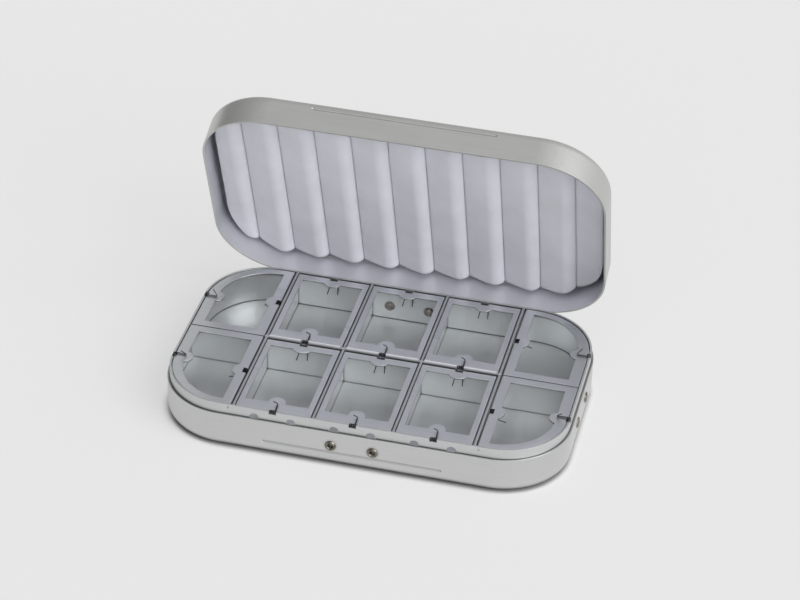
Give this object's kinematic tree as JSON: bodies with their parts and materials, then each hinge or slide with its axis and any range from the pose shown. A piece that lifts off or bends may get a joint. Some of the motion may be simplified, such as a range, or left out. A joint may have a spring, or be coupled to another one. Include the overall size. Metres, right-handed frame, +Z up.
{
  "type": "fly box",
  "caption": "Shallow rounded aluminium case with a rippled foam lid and a riveted tray of small sprung windowed lids.",
  "frame": {"origin": "centre of the flat bottom of the base shell", "axes": "+X along the case, +Y towards the case hinge, +Z up"},
  "size_m": [0.153, 0.1054, 0.1062],
  "materials": {
    "case_aluminium": "satin brushed",
    "tray_aluminium": "satin",
    "lid_aluminium": "matt satin",
    "hinge_steel": "satin",
    "rivet_bronze": "dull bronzed",
    "spring_wire": "dark oiled",
    "window_clear": "clear moulded plastic",
    "foam_grey": "closed-cell foam, matt"
  },
  "bodies": {
    "base": {"base_shell": "case_aluminium", "tray_wall": "tray_aluminium", "tray_floor": "tray_aluminium", "middle_divider": "tray_aluminium", "cross_divider_1": "tray_aluminium", "cross_divider_2": "tray_aluminium", "cross_divider_3": "tray_aluminium", "cross_divider_4": "tray_aluminium", "hinge_base_leaf": "hinge_steel", "hinge_pin": "hinge_steel", "back_hinge_rod": "hinge_steel", "mid_hinge_rod": "hinge_steel", "left_hinge_rod": "hinge_steel", "right_hinge_rod": "hinge_steel", "tray_rivets": "rivet_bronze", "catch_pins": "spring_wire", "back_1_spring": "spring_wire", "back_2_spring": "spring_wire", "back_3_spring": "spring_wire", "back_4_spring": "spring_wire", "back_5_spring": "spring_wire", "front_1_spring": "spring_wire", "front_2_spring": "spring_wire", "front_3_spring": "spring_wire", "front_4_spring": "spring_wire", "front_5_spring": "spring_wire"},
    "case_lid": {"lid_shell": "case_aluminium", "ripple_foam": "foam_grey", "hinge_lid_leaf": "hinge_steel"},
    "back_1_lid": {"back_1_frame": "lid_aluminium", "back_1_window": "window_clear"},
    "back_1_catch": {"back_1_catch": "spring_wire"},
    "back_2_lid": {"back_2_frame": "lid_aluminium", "back_2_window": "window_clear"},
    "back_2_catch": {"back_2_catch": "spring_wire"},
    "back_3_lid": {"back_3_frame": "lid_aluminium", "back_3_window": "window_clear"},
    "back_3_catch": {"back_3_catch": "spring_wire"},
    "back_4_lid": {"back_4_frame": "lid_aluminium", "back_4_window": "window_clear"},
    "back_4_catch": {"back_4_catch": "spring_wire"},
    "back_5_lid": {"back_5_frame": "lid_aluminium", "back_5_window": "window_clear"},
    "back_5_catch": {"back_5_catch": "spring_wire"},
    "front_1_lid": {"front_1_frame": "lid_aluminium", "front_1_window": "window_clear"},
    "front_1_catch": {"front_1_catch": "spring_wire"},
    "front_2_lid": {"front_2_frame": "lid_aluminium", "front_2_window": "window_clear"},
    "front_2_catch": {"front_2_catch": "spring_wire"},
    "front_3_lid": {"front_3_frame": "lid_aluminium", "front_3_window": "window_clear"},
    "front_3_catch": {"front_3_catch": "spring_wire"},
    "front_4_lid": {"front_4_frame": "lid_aluminium", "front_4_window": "window_clear"},
    "front_4_catch": {"front_4_catch": "spring_wire"},
    "front_5_lid": {"front_5_frame": "lid_aluminium", "front_5_window": "window_clear"},
    "front_5_catch": {"front_5_catch": "spring_wire"}
  },
  "joints": [
    {"name": "case_lid_hinge", "type": "hinge", "parent": "base", "child": "case_lid", "pos_m": [0, 0.0477, 0.01473], "axis": [-1, 0, 0], "range_deg": [-69.3, 110.7]},
    {"name": "back_1_lid_hinge", "type": "hinge", "parent": "base", "child": "back_1_lid", "pos_m": [-0.04647, 0.022, 0.0175], "axis": [0, 1, 0], "range_deg": [0, 75], "deforming": ["back_1_spring"]},
    {"name": "back_1_catch_turn", "type": "hinge", "parent": "base", "child": "back_1_catch", "pos_m": [-0.07448, 0.0204, 0.0185], "axis": [0, -1, 0], "range_deg": [0, 80], "stiffness_Nm_per_rad": 0.0005},
    {"name": "back_2_lid_hinge", "type": "hinge", "parent": "base", "child": "back_2_lid", "pos_m": [-0.02978, 0.0432, 0.0175], "axis": [-1, 0, 0], "range_deg": [0, 75], "deforming": ["back_2_spring"]},
    {"name": "back_2_catch_turn", "type": "hinge", "parent": "base", "child": "back_2_catch", "pos_m": [-0.02978, 0.00052, 0.0185], "axis": [1, 0, 0], "range_deg": [0, 80], "stiffness_Nm_per_rad": 0.0005},
    {"name": "back_3_lid_hinge", "type": "hinge", "parent": "base", "child": "back_3_lid", "pos_m": [0, 0.0432, 0.0175], "axis": [-1, 0, 0], "range_deg": [0, 75], "deforming": ["back_3_spring"]},
    {"name": "back_3_catch_turn", "type": "hinge", "parent": "base", "child": "back_3_catch", "pos_m": [0, 0.00052, 0.0185], "axis": [1, 0, 0], "range_deg": [0, 80], "stiffness_Nm_per_rad": 0.0005},
    {"name": "back_4_lid_hinge", "type": "hinge", "parent": "base", "child": "back_4_lid", "pos_m": [0.02978, 0.0432, 0.0175], "axis": [-1, 0, 0], "range_deg": [0, 75], "deforming": ["back_4_spring"]},
    {"name": "back_4_catch_turn", "type": "hinge", "parent": "base", "child": "back_4_catch", "pos_m": [0.02978, 0.00052, 0.0185], "axis": [1, 0, 0], "range_deg": [0, 80], "stiffness_Nm_per_rad": 0.0005},
    {"name": "back_5_lid_hinge", "type": "hinge", "parent": "base", "child": "back_5_lid", "pos_m": [0.04647, 0.022, 0.0175], "axis": [0, -1, 0], "range_deg": [0, 75], "deforming": ["back_5_spring"]},
    {"name": "back_5_catch_turn", "type": "hinge", "parent": "base", "child": "back_5_catch", "pos_m": [0.07448, 0.0204, 0.0185], "axis": [0, 1, 0], "range_deg": [0, 80], "stiffness_Nm_per_rad": 0.0005},
    {"name": "front_1_lid_hinge", "type": "hinge", "parent": "base", "child": "front_1_lid", "pos_m": [-0.04647, -0.022, 0.0175], "axis": [0, 1, 0], "range_deg": [0, 75], "deforming": ["front_1_spring"]},
    {"name": "front_1_catch_turn", "type": "hinge", "parent": "base", "child": "front_1_catch", "pos_m": [-0.07448, -0.0204, 0.0185], "axis": [0, -1, 0], "range_deg": [0, 80], "stiffness_Nm_per_rad": 0.0005},
    {"name": "front_2_lid_hinge", "type": "hinge", "parent": "base", "child": "front_2_lid", "pos_m": [-0.02978, -0.0018, 0.0175], "axis": [-1, 0, 0], "range_deg": [0, 75], "deforming": ["front_2_spring"]},
    {"name": "front_2_catch_turn", "type": "hinge", "parent": "base", "child": "front_2_catch", "pos_m": [-0.02978, -0.04448, 0.0185], "axis": [1, 0, 0], "range_deg": [0, 80], "stiffness_Nm_per_rad": 0.0005},
    {"name": "front_3_lid_hinge", "type": "hinge", "parent": "base", "child": "front_3_lid", "pos_m": [0, -0.0018, 0.0175], "axis": [-1, 0, 0], "range_deg": [0, 75], "deforming": ["front_3_spring"]},
    {"name": "front_3_catch_turn", "type": "hinge", "parent": "base", "child": "front_3_catch", "pos_m": [0, -0.04448, 0.0185], "axis": [1, 0, 0], "range_deg": [0, 80], "stiffness_Nm_per_rad": 0.0005},
    {"name": "front_4_lid_hinge", "type": "hinge", "parent": "base", "child": "front_4_lid", "pos_m": [0.02978, -0.0018, 0.0175], "axis": [-1, 0, 0], "range_deg": [0, 75], "deforming": ["front_4_spring"]},
    {"name": "front_4_catch_turn", "type": "hinge", "parent": "base", "child": "front_4_catch", "pos_m": [0.02978, -0.04448, 0.0185], "axis": [1, 0, 0], "range_deg": [0, 80], "stiffness_Nm_per_rad": 0.0005},
    {"name": "front_5_lid_hinge", "type": "hinge", "parent": "base", "child": "front_5_lid", "pos_m": [0.04647, -0.022, 0.0175], "axis": [0, -1, 0], "range_deg": [0, 75], "deforming": ["front_5_spring"]},
    {"name": "front_5_catch_turn", "type": "hinge", "parent": "base", "child": "front_5_catch", "pos_m": [0.07448, -0.0204, 0.0185], "axis": [0, 1, 0], "range_deg": [0, 80], "stiffness_Nm_per_rad": 0.0005}
  ]
}
